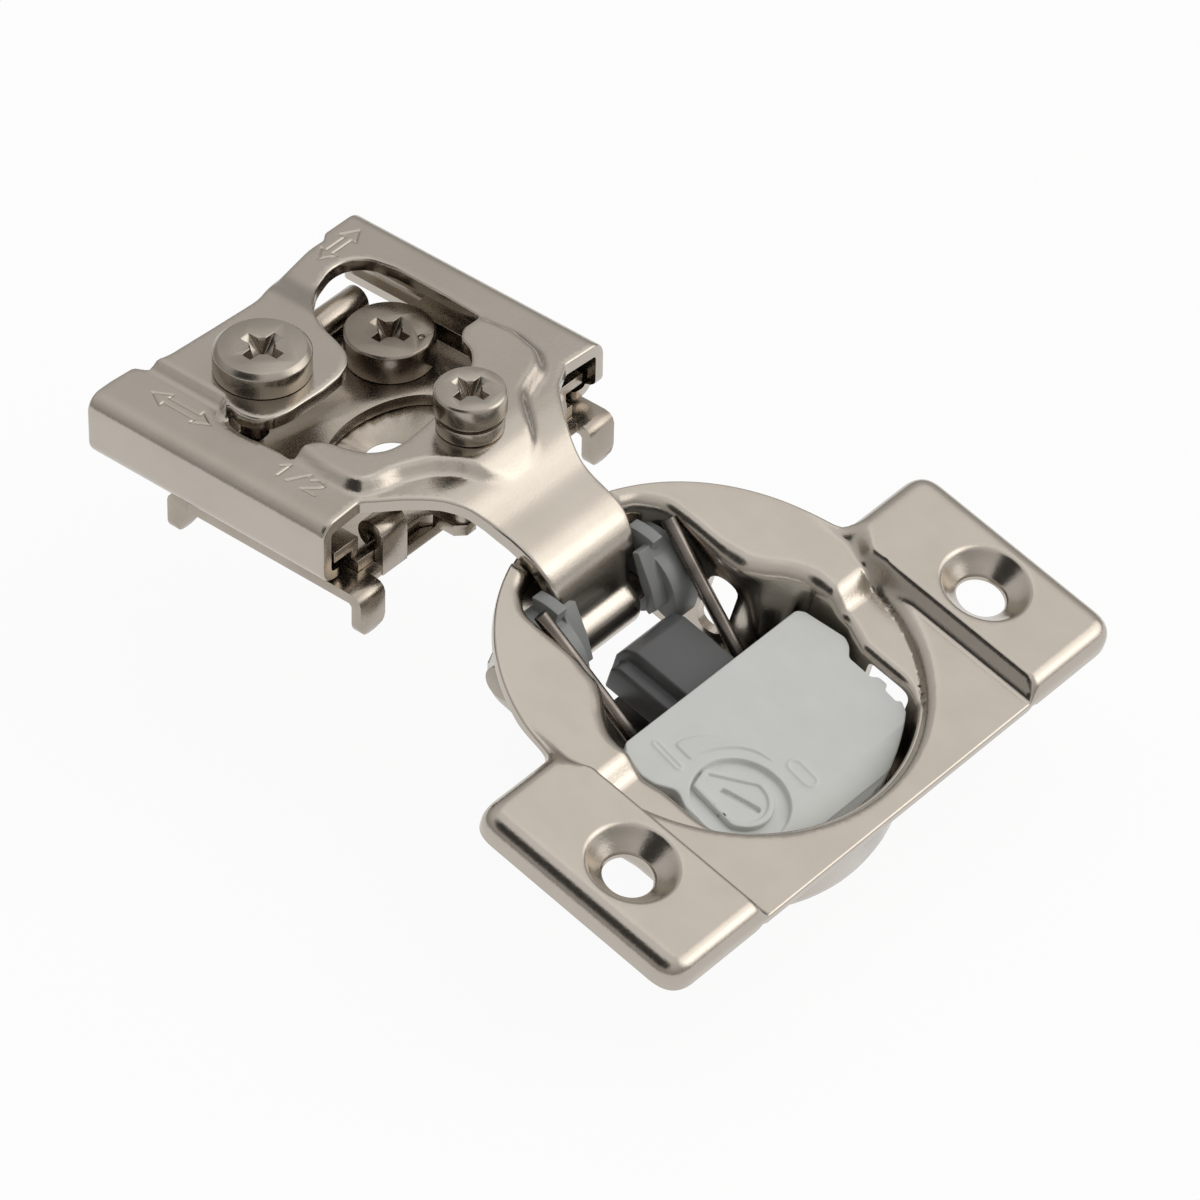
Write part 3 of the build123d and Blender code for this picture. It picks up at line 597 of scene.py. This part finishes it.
def arrow(x, y, angle, long, wide, head):
    """Outline of a two-way arrow."""
    h = long / 2
    half = wide / 2
    shaft = half * 0.42
    points = [
        (-h, 0), (-h + head, -half), (-h + head, -shaft), (h - head, -shaft), (h - head, -half), (h, 0),
        (h - head, half), (h - head, shaft), (-h + head, shaft), (-h + head, half), (-h, 0),
    ]
    c, s = math.cos(math.radians(angle)), math.sin(math.radians(angle))
    return np.array([(x + c * a - s * b, y + s * a + c * b) for a, b in points])


def one_half(x, y, size):
    """The figures 1/2, which are the overlay in inches, read from the far end."""
    one = [(0.0, 0.62), (0.22, 0.95), (0.22, 0.0)]
    bar = [(0.62, 0.0), (1.05, 1.0)]
    two = [(1.25, 0.72), (1.36, 0.93), (1.58, 0.97), (1.74, 0.80), (1.70, 0.58), (1.25, 0.0), (1.80, 0.0)]
    return [np.array([(x + size * 1.45 * a, y + size * b) for a, b in stroke]) for stroke in (one, bar, two)]


arm_marks = [arrow(-11.5, -12.9, 0, 6.4, 1.7, 1.5), arrow(-16.35, 11.9, 90, 5.2, 1.7, 1.4)]
arm_marks += one_half(-0.5, -14.1, 1.75)
mark_width = 0.085
mark_depth = 0.09


def engraved(flat, marks):
    """Depth of the struck marks at each flat point."""
    result = np.zeros(len(flat))
    for mark in marks:
        low, high = mark.min(axis=0) - 0.5, mark.max(axis=0) + 0.5
        chosen = np.flatnonzero(((flat > low) & (flat < high)).all(axis=1))
        if len(chosen):
            fall = np.exp(-(away(flat[chosen], mark, closed=False) / mark_width) ** 2)
            result[chosen] = np.maximum(result[chosen], mark_depth * fall)
    return result


# closed shell of the arm: rounded edges, cut walls, upper side with the marks, and underside
arm = Sheet()
cuts = [arm_outline, arm_window] + shaft_holes
inner = [moved_in(ring, edge_round) for ring in cuts]
for ring, inner_ring in zip(cuts, inner):
    levels = []
    for degrees in (0, 28, 58, 90):
        t = math.radians(degrees)
        flat = moved_in(ring, edge_round * (1 - math.cos(t)))
        levels.append(arm.add(over_arm(flat, arm_rise(flat), edge_round * (1 - math.sin(t)))))
    arm.stack(levels)
    bottom = arm.add(over_arm(ring, arm_rise(ring), arm_thick))
    arm.stack([bottom, levels[0]])
    arm.stack([arm.add(over_arm(inner_ring, arm_rise(inner_ring), arm_thick)), bottom])
arm_spacing = 0.36
flat, faces = filled(inner, scattered(inner, arm_spacing, arm_spacing * 0.55, [(0.075, arm_marks, 0.26)]))
height = arm_rise(flat)
arm.fill(arm.add(over_arm(flat, height - engraved(flat, arm_marks), 0.0)), faces)
arm.fill(arm.add(over_arm(flat, height, arm_thick)), faces, under=True)
arm = arm.make("arm_stamping")
bpy.ops.object.shade_smooth_by_angle(angle=math.radians(40))
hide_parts("arm")
sheet_nickel = nickel("sheet_nickel", (0.485, 0.441, 0.388), (0.464, 0.421, 0.368), 0.20, 0.2, 0.018)
finish(arm, sheet_nickel, "hinge_arm")

# Depth cam: the larger recessed head on the pad, turned from steel and plated. Its shaft goes through the
# sheet, and a washer riveted below holds it.
screw_nickel = nickel("screw_nickel", (0.41, 0.372, 0.325), (0.35, 0.315, 0.27), 0.24, 0.2, 0.012)
finish(softened("depth_cam", 0.12), screw_nickel, "depth_adjuster")
finish(softened("depth_cam_washer", 0.08), screw_nickel, "depth_adjuster")

# Side screw: a plated machine screw with a grooved head that lifts the arm. A ring pressed on below the sheet
# keeps it in the arm.
finish(softened("side_screw", 0.10), screw_nickel, "side_adjuster")
finish(softened("side_screw_ring", 0.08), screw_nickel, "side_adjuster")


# Cup: one pressing of 0.9 mm steel. Two wings are pressed up from the flange and dimpled for countersunk
# screws, the mouth rolls softly into the pot beside two low shelves, and the pot's wall and floor are pierced.
cup_lean = math.radians(15)
cup_at = (35.10, 0.0, -1.91)
cup_thick = 0.9
pot_floor = -10.5
wing_half = 28.4
wing_near = -2.2
wing_far = 19.5
flange_top = 0.35
wing_rise = 1.5
wing_thicker = 0.35
disc_r = 18.7
shelf_low = -0.95
shelf_r = 16.9
quarter = [math.radians(degrees) for degrees in (0, 22, 45, 68, 90)]
fine_quarter = [math.radians(degrees) for degrees in (0, 12, 24, 36, 48, 60, 75, 90)]


def from_cup(points):
    """Places in the hinge from places in the cup's own frame."""
    points = np.asarray(points, float)
    c, s = math.cos(cup_lean), math.sin(cup_lean)
    x, y, z = points[:, 0], points[:, 1], points[:, 2]
    return np.stack([cup_at[0] + c * x + s * z, y, cup_at[2] - s * x + c * z], axis=1)


def raised(flat, height):
    """The flat points of the cup at their heights, in the hinge."""
    return from_cup(np.column_stack([flat, np.broadcast_to(height, len(flat))]))


def round_points(r, start, end, step):
    turns = [math.radians(degrees) for degrees in np.arange(start, end, step)]
    return [(r * math.cos(t), r * math.sin(t)) for t in turns]


def wing_share(flat):
    """How far a place is up on a wing: a soft slope beside the disc and a tight bend farther on."""
    x, y = flat[:, 0], np.abs(flat[:, 1])
    soft = eased((1.4 - x) / 3.0)
    return eased((y - 16.75 - 0.7 * soft) / (1.2 + 1.0 * soft))


def flange_height(flat):
    """Upper side of the pressing: the flange, the raised wings, the dip under the neck and the shelves."""
    x, y = flat[:, 0], np.abs(flat[:, 1])
    height = flange_top + wing_rise * wing_share(flat)
    height -= 0.75 * eased((6.2 - y) / 0.9) * eased((-14.6 - x) / 1.4)
    fall = np.clip((shelf_r - np.hypot(x, y)) / 1.2 + 1, 0, 1)
    steep = 1 - np.sqrt(np.clip(1 - fall * fall, 0, 1))
    return height - (height - shelf_low) * (0.5 * steep + 0.5 * fall * fall) * eased((x - 0.9) / 2.4)


flange_half = round_points(disc_r, 180, 98, -5)
flange_half += [
    (wing_near - 0.35, disc_r, 0.7), (wing_near, 19.5, 0.7), (wing_near, wing_half, 2.5), (wing_far, wing_half, 2.5),
]
flange_edge = turned(rounded(flange_half + other_side(flange_half)[:-1], 0.34, reach=30.0))
neck_wall = [
    (-16.55, 3.0, 3.0), (-16.2, 5.2, 4.0), (-15.3, 7.3, 2.2), (-13.6, 8.75, 2.2), (-10.5, 8.85), (-7.4, 8.75, 4.0),
    (-5.2, 9.0, 3.0), (-3.7, 10.0), (-2.3, 11.4, 3.0), (-0.9, 12.35, 3.0),
]
far_wall = neck_wall + [
    (1.4, 12.6, 3.0), (3.6, 12.5, 2.0), (5.0, 11.9, 1.5), (6.1, 11.4, 1.5), (8.0, 11.35), (11.2, 11.35, 3.0),
]
near_wall = neck_wall + [(1.4, 12.8, 3.0), (3.6, 12.95, 2.0), (5.4, 12.6, 2.0), (7.4, 12.6), (10.3, 12.75, 2.0)]
mouth = far_wall + round_points(16.72, 38, -44, -6) + other_side(near_wall)
mouth = turned(rounded(mouth, 0.28, reach=30.0), left=False)

# the outer edge: a wide pressed round and a short wall on the wings, a plain cut edge elsewhere
cup = Sheet()
high = wing_share(flange_edge)
round_plan = 0.22 + 1.4 * high
round_drop = 0.22 + 1.55 * high
brim = flange_top - cup_thick + (flange_height(flange_edge) - flange_top) * (1 - high)
levels = []
for t in fine_quarter:
    flat = moved_in(flange_edge, round_plan * (1 - math.cos(t)))
    levels.append(cup.add(raised(flat, flange_height(flat) - round_drop * (1 - math.sin(t)))))
cup.stack(levels)
top_edge = moved_in(flange_edge, round_plan)
low_edge = cup.add(raised(flange_edge, brim))
tray_edge = moved_in(flange_edge, 0.3 + (cup_thick - 0.3) * high)
tray_low = cup.add(raised(tray_edge, brim))
tray_up = cup.add(raised(tray_edge, flange_height(tray_edge) - cup_thick - wing_thicker * high))
cup.stack([levels[0], low_edge, tray_low, tray_up], downward=True)

# the mouth: a soft lip, the wall of the pot with its slope beside the neck, and the round at the floor
on_right = eased(mouth[:, 0] / 2)
soft_lip = 1.15 + 0.45 * eased((mouth[:, 0] + 8.5) / 2.0)
tight_lip = 0.24 + 0.71 * eased((shelf_r - np.linalg.norm(mouth, axis=1)) / 1.6)
lip = soft_lip * (1 - on_right) + tight_lip * on_right
lip = np.convolve(np.concatenate([lip[-3:], lip, lip[:3]]), np.ones(7) / 7, mode="valid")
slope = 0.46 * eased((mouth[:, 0] + 4.9) / 1.8) * (1 - eased((mouth[:, 0] + 1.5) / 1.1))
slope_top = -1.2
slope_high = 4.6
floor_r = 1.3
wall_low = pot_floor + floor_r
mouth_top = moved_in(mouth, lip)
mouth_height = flange_height(mouth_top)
levels = []
for t in fine_quarter:
    flat = moved_in(mouth, lip * (1 - math.sin(t)))
    levels.append(cup.add(raised(flat, mouth_height - lip * (1 - math.cos(t)))))
for z in (-2.6, -4.2, -5.8, -7.4, wall_low):
    levels.append(cup.add(raised(moved_in(mouth, -slope * min(slope_top - z, slope_high)), z)))
for t in quarter[1:]:
    flat = moved_in(mouth, -floor_r * (1 - math.cos(t)) - slope * slope_high)
    levels.append(cup.add(raised(flat, wall_low - floor_r * math.sin(t))))
cup.stack(levels, downward=True)
floor_edge = moved_in(mouth, -floor_r - slope * slope_high)
root_r = 0.35
pot_r = 1.7
pot_top = moved_in(mouth, cup_thick + root_r)
pot_height = flange_height(pot_top) - cup_thick
levels = []
for t in quarter[::2]:
    flat = moved_in(mouth, cup_thick + root_r * (1 - math.sin(t)))
    levels.append(cup.add(raised(flat, pot_height - root_r * (1 - math.cos(t)))))
for t in quarter:
    flat = moved_in(mouth, cup_thick - pot_r * (1 - math.cos(t)))
    levels.append(cup.add(raised(flat, pot_floor - cup_thick + pot_r * (1 - math.sin(t)))))
cup.stack(levels)
pot_low = moved_in(mouth, cup_thick - pot_r)

# the screw holes: a soft dimple, a cone and a short bore, then the underside of the dimple
hole_x = 9.5
hole_y = 22.5
dimple = [
    (4.12, 0.0), (3.97, -0.03), (3.82, -0.11), (3.66, -0.26), (3.45, -0.5), (2.9, -1.02), (2.32, -1.5),
    (2.14, -1.68), (2.1, -1.85), (2.1, -2.1), (2.7, -2.1), (3.15, -1.75), (3.75, -1.15), (4.3, -0.93), (4.6, -0.9),
]
hole_tops, hole_lows = [], []
for side in (-1, 1):
    circles = [ring_of(hole_x, hole_y * side, r, 72)[::-1] for r, z in dimple]
    levels = [cup.add(raised(ring, flange_top + wing_rise + z)) for ring, (r, z) in zip(circles, dimple)]
    cup.stack(levels, downward=True)
    hole_tops.append(circles[0])
    hole_lows.append(circles[-1])

bends = [np.column_stack([np.linspace(-1.9, 19.2, 40), np.full(40, 17.4 * side)]) for side in (-1, 1)]
crease = np.array(round_points(shelf_r, 80, -81, -1))
rings = [top_edge, mouth_top] + hole_tops
flat, faces = filled(rings, scattered(rings, 0.42, 0.14, [(0.2, bends, 0.9), (0.2, [crease], 0.9)]))
cup.fill(cup.add(raised(flat, flange_height(flat))), faces)
rings = [tray_edge, pot_top] + hole_lows
flat, faces = filled(rings, scattered(rings, 0.6, 0.3))
thicker = wing_thicker * wing_share(flat) * (flat[:, 1] ** 2 > 760)
cup.fill(cup.add(raised(flat, flange_height(flat) - cup_thick - thicker)), faces, under=True)
for ring, z, under in ((floor_edge, pot_floor, False), (pot_low, pot_floor - cup_thick, True)):
    rings = [ring[::-1].copy()]
    flat, faces = filled(rings, scattered(rings, 1.2, 0.5))
    cup.fill(cup.add(raised(flat, z)), faces, under=under)
cup = cup.make("cup_pressing")

# pierced: the floor and the end wall for the arm, a window at each side, a slit for each housing lug, and the
# two bores of the pin
bpy.ops.mesh.primitive_cylinder_add(vertices=48, radius=1.3 * MM, depth=30 * MM, rotation=(math.pi / 2, 0, 0),
                                    location=(-12.5 * MM, 0, -6.4 * MM))
bpy.ops.object.transform_apply(location=True, rotation=True, scale=True)
pin_punch = bpy.context.object
punches = [
    block((-15.2, -8.4, -13.0), (-7.0, 8.4, -9.0), 1.0), block((-20.0, -8.2, -10.0), (-13.6, 8.2, -2.2), 1.2),
    block((-7.7, -20.0, -9.0), (-4.9, 20.0, -2.5), 1.2), block((7.2, -20.0, -5.2), (11.8, 20.0, -1.9), 0.5),
    pin_punch,
]
cup_place = Matrix.Translation(Vector(cup_at) * MM) @ Matrix.Rotation(cup_lean, 4, "Y")
for punch in punches:
    punch.data.transform(cup_place)
    combined(cup, punch, "DIFFERENCE")
only(cup)
bpy.ops.object.shade_smooth_by_angle(angle=math.radians(40))
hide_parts("cup")
finish(cup, sheet_nickel, "cup_body")

# Hinge pin: a plain rod of drawn and plated steel wire through the arm's roll and both cams. Its two ends are
# riveted over the outside of the pot.
finish(softened("hinge_pin", 0.25), screw_nickel, "cup_body")

# Damper housing: light grey acetal moulding that snaps into the far half of the pot. Its lid carries the
# figures 1 and 0, a raised crescent and a round pocket for the switch, and dips beyond a crease.
def moulding(name, colour, roughness):
    """Moulded plastic with a fine spark-eroded grain."""
    material = mottled(name, colour, [c * 0.95 for c in colour], 300, 4, 0.3, 0.7)
    grained(material, 6000, 2, 0.4, 0.01)
    material.node_tree.nodes["Principled BSDF"].inputs["Roughness"].default_value = roughness
    return material


def long_ring(x, y, angle, half_long, r):
    """Closed outline with two round ends."""
    turns = np.linspace(-math.pi / 2, math.pi / 2, 9)
    points = [(half_long + r * math.cos(t), r * math.sin(t)) for t in turns]
    points += [(-a, -b) for a, b in points]
    c, s = math.cos(math.radians(angle)), math.sin(math.radians(angle))
    return np.array([(x + c * a - s * b, y + s * a + c * b) for a, b in points + points[:1]])


def closed_line(ring):
    return np.concatenate([ring, ring[:1]])


lid_top = -2.0
lid_low = -3.05
lid_round = 0.16
crease_x = 13.1
dip = math.tan(math.radians(26))
switch_at = np.array([9.6, -7.9])
pocket_r = 4.2
pocket_deep = 0.5
shaft_bore_r = 1.3
crescent_high = 0.14
figure_high = 0.11
housing_edge = [
    (-0.3, -10.9, 0.9), (-0.3, 10.8, 0.7), (0.3, 11.3, 0.8), (4.2, 11.9, 0.8), (5.0, 11.5), (5.8, 10.5, 0.6),
    (8.2, 10.4, 0.3), (8.7, 10.9, 0.3), (9.6, 10.9, 0.3), (9.9, 10.3, 0.3), (11.2, 10.1, 0.3), (11.5, 10.5, 0.3),
    (12.5, 9.9, 0.4),
]
housing_edge += round_points(15.9, 35, -39, -6)
housing_edge += [
    (12.3, -10.1, 2.0), (10.0, -12.2, 1.5), (7.2, -12.0, 1.5), (5.6, -11.2, 1.0), (4.0, -12.2, 1.2),
    (2.7, -12.4, 1.5), (0.6, -11.8, 1.5),
]
housing_edge = turned(rounded(housing_edge, 0.16, reach=30.0))
crescent = rounded([
    (2.5, -7.9, 0.3), (2.55, -7.0), (3.3, -5.4), (4.9, -3.8), (6.9, -2.9), (9.3, -2.75, 0.1), (7.4, -3.1),
    (6.1, -3.9), (5.0, -5.4), (4.35, -7.2), (4.3, -8.1, 0.3),
], 0.12, reach=6.0)
figures = [long_ring(2.8, -9.2, -7, 1.35, 0.25), long_ring(11.1, -1.85, -6, 0.85, 0.62)]


def lid_height(flat):
    """Upper side of the lid with its raised marks, pocket and dipping end."""
    height = np.full(len(flat), lid_top) - dip * np.clip(flat[:, 0] - crease_x, 0, 5)
    height += crescent_high * eased(depth_in(flat, crescent) / 0.16 + 0.5)
    for figure in figures:
        height += figure_high * np.exp(-(away(flat, figure, closed=False) / 0.13) ** 2)
    reach = np.linalg.norm(flat - switch_at, axis=1)
    sunk = eased((pocket_r - reach) / 0.16) * (flat[:, 0] < crease_x + 1.5)
    return height - (height - lid_top + pocket_deep) * sunk


lid = Sheet()
levels = [lid.add(raised(housing_edge, lid_low))]
for t in quarter:
    flat = moved_in(housing_edge, lid_round * (1 - math.cos(t)))
    levels.append(lid.add(raised(flat, lid_height(flat) - lid_round * (1 - math.sin(t)))))
lid.stack(levels)
rings = [moved_in(housing_edge, lid_round)]
fine_lines = [closed_line(ring_of(*switch_at, pocket_r - 0.08, 90)), closed_line(crescent)] + figures
fine_lines.append(np.column_stack([np.full(30, crease_x), np.linspace(-9.0, 8.6, 30)]))
flat, faces = filled(rings, scattered(rings, 0.5, 0.1, [(0.11, fine_lines, 0.3)]))
lid.fill(lid.add(raised(flat, lid_height(flat))), faces)
rings = [housing_edge]
flat, faces = filled(rings, scattered(rings, 1.2, 0.4))
lid.fill(lid.add(raised(flat, lid_low)), faces, under=True)
lid = lid.make("damper_housing_lid")
bpy.ops.mesh.primitive_cylinder_add(vertices=48, radius=shaft_bore_r * MM, depth=4 * MM,
                                    location=(switch_at[0] * MM, switch_at[1] * MM, -2.5 * MM))
bpy.ops.object.transform_apply(location=True, rotation=True, scale=True)
punch = bpy.context.object
punch.data.transform(cup_place)
combined(lid, punch, "DIFFERENCE")


def joined(top, node, height):
    """The new upper part made one with the solid's part below a height in the cup's own frame."""
    piece = merged_copy(node)
    up = Vector((math.sin(cup_lean), 0, math.cos(cup_lean)))
    level = Vector(from_cup([(0, 0, height)])[0]) * MM
    bpy.ops.mesh.bisect(plane_co=level, plane_no=up, use_fill=True, clear_outer=True, threshold=0.0005 * MM)
    bpy.ops.object.mode_set(mode="OBJECT")
    top.select_set(True)
    bpy.ops.object.join()
    bpy.ops.object.shade_smooth_by_angle(angle=math.radians(38))
    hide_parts(node)
    return piece


light_grey = moulding("light_grey_moulding", (0.60, 0.615, 0.595), 0.40)
finish(joined(lid, "damper_housing", lid_low + 0.1), light_grey, "cup_body")

# Damper switch: a wedge-shaped knob in the pocket, moulded from the same light grey acetal, with a raised rim
# and a slot for a screwdriver. Its shaft turns in the housing.
knob_top = -1.92
knob_low = -2.47
knob_round = 0.16
knob_r = 2.8
knob_turn = math.radians(194)
tip_reach = 3.85
tip_half = 1.1
rim_wide = 0.45
rim_high = 0.2
slot_half = 1.5
pointing = np.array([math.cos(knob_turn), math.sin(knob_turn)])
aside = np.array([-math.sin(knob_turn), math.cos(knob_turn)])
tip = switch_at + tip_reach * pointing
back = math.degrees(knob_turn)
knob_edge = [tuple(switch_at + p) for p in round_points(knob_r, back - 100, back - 261, -10)]
knob_edge += [(*(tip + tip_half * aside), 0.4), (*(tip - tip_half * aside), 0.4)]
knob_edge = turned(rounded(knob_edge, 0.12, reach=30.0))
slot_line = np.array([switch_at + k * pointing for k in (-slot_half, slot_half)])


def knob_height(flat):
    """Upper side of the knob, sunk inside the rim and deeper in the slot."""
    sunk = rim_high * eased((away(flat, knob_edge) - rim_wide) / 0.18)
    return knob_top - sunk - 0.45 * eased((0.34 - away(flat, slot_line, closed=False)) / 0.1)


knob = Sheet()
levels = [knob.add(raised(knob_edge, knob_low))]
for t in quarter:
    flat = moved_in(knob_edge, knob_round * (1 - math.cos(t)))
    levels.append(knob.add(raised(flat, knob_top - knob_round * (1 - math.sin(t)))))
knob.stack(levels)
rings = [moved_in(knob_edge, knob_round)]
fine_lines = [closed_line(moved_in(knob_edge, rim_wide + 0.09)), long_ring(*switch_at, back, slot_half, 0.29)]
flat, faces = filled(rings, scattered(rings, 0.3, 0.06, [(0.09, fine_lines, 0.2)]))
knob.fill(knob.add(raised(flat, knob_height(flat))), faces)
flat, faces = filled([knob_edge], scattered([knob_edge], 0.6, 0.2))
knob.fill(knob.add(raised(flat, knob_low)), faces, under=True)
knob = joined(knob.make("damper_switch_knob"), "damper_switch", knob_low + 0.01)
finish(knob, light_grey, "switch")

# Inside of the damper: the cover and piston in the housing's grey, the cylinder and gland in dark acetal.
# All of them are small mouldings that the housing and the slider hide.
dark_grey = moulding("dark_grey_moulding", (0.090, 0.092, 0.094), 0.36)
hidden_parts = {"damper_cover": light_grey, "damper_piston": light_grey, "damper_cylinder": dark_grey,
                "damper_gland": dark_grey}
for name, stuff in hidden_parts.items():
    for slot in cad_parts[name].material_slots:
        slot.material = stuff

# Damper slider: a dark acetal moulding that the arm pushes into the housing as the door closes. Its edges are
# moulded round.
finish(softened("damper_slider", 0.22, segments=3), dark_grey, "damper")

# Cams: two mid grey acetal mouldings on the hinge pin, one on each side of the arm's roll. The spring's legs
# press on them.
mid_grey = moulding("mid_grey_moulding", (0.235, 0.245, 0.24), 0.38)
for name in ("cam_left", "cam_right"):
    finish(softened(name, 0.25, segments=3), mid_grey, "hinge_arm")

# Springs and rod: drawn steel wire, left dark and oiled. The closing spring's two legs run out of the pot to the
# cams, and the damper's spring and rod are inside the slider.
wire = nickel("oiled_wire", (0.24, 0.21, 0.19), (0.13, 0.115, 0.10), 0.27, 0.3, 0.01)
for name in ("closing_spring", "damper_spring", "damper_rod"):
    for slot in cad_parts[name].material_slots:
        slot.material = wire
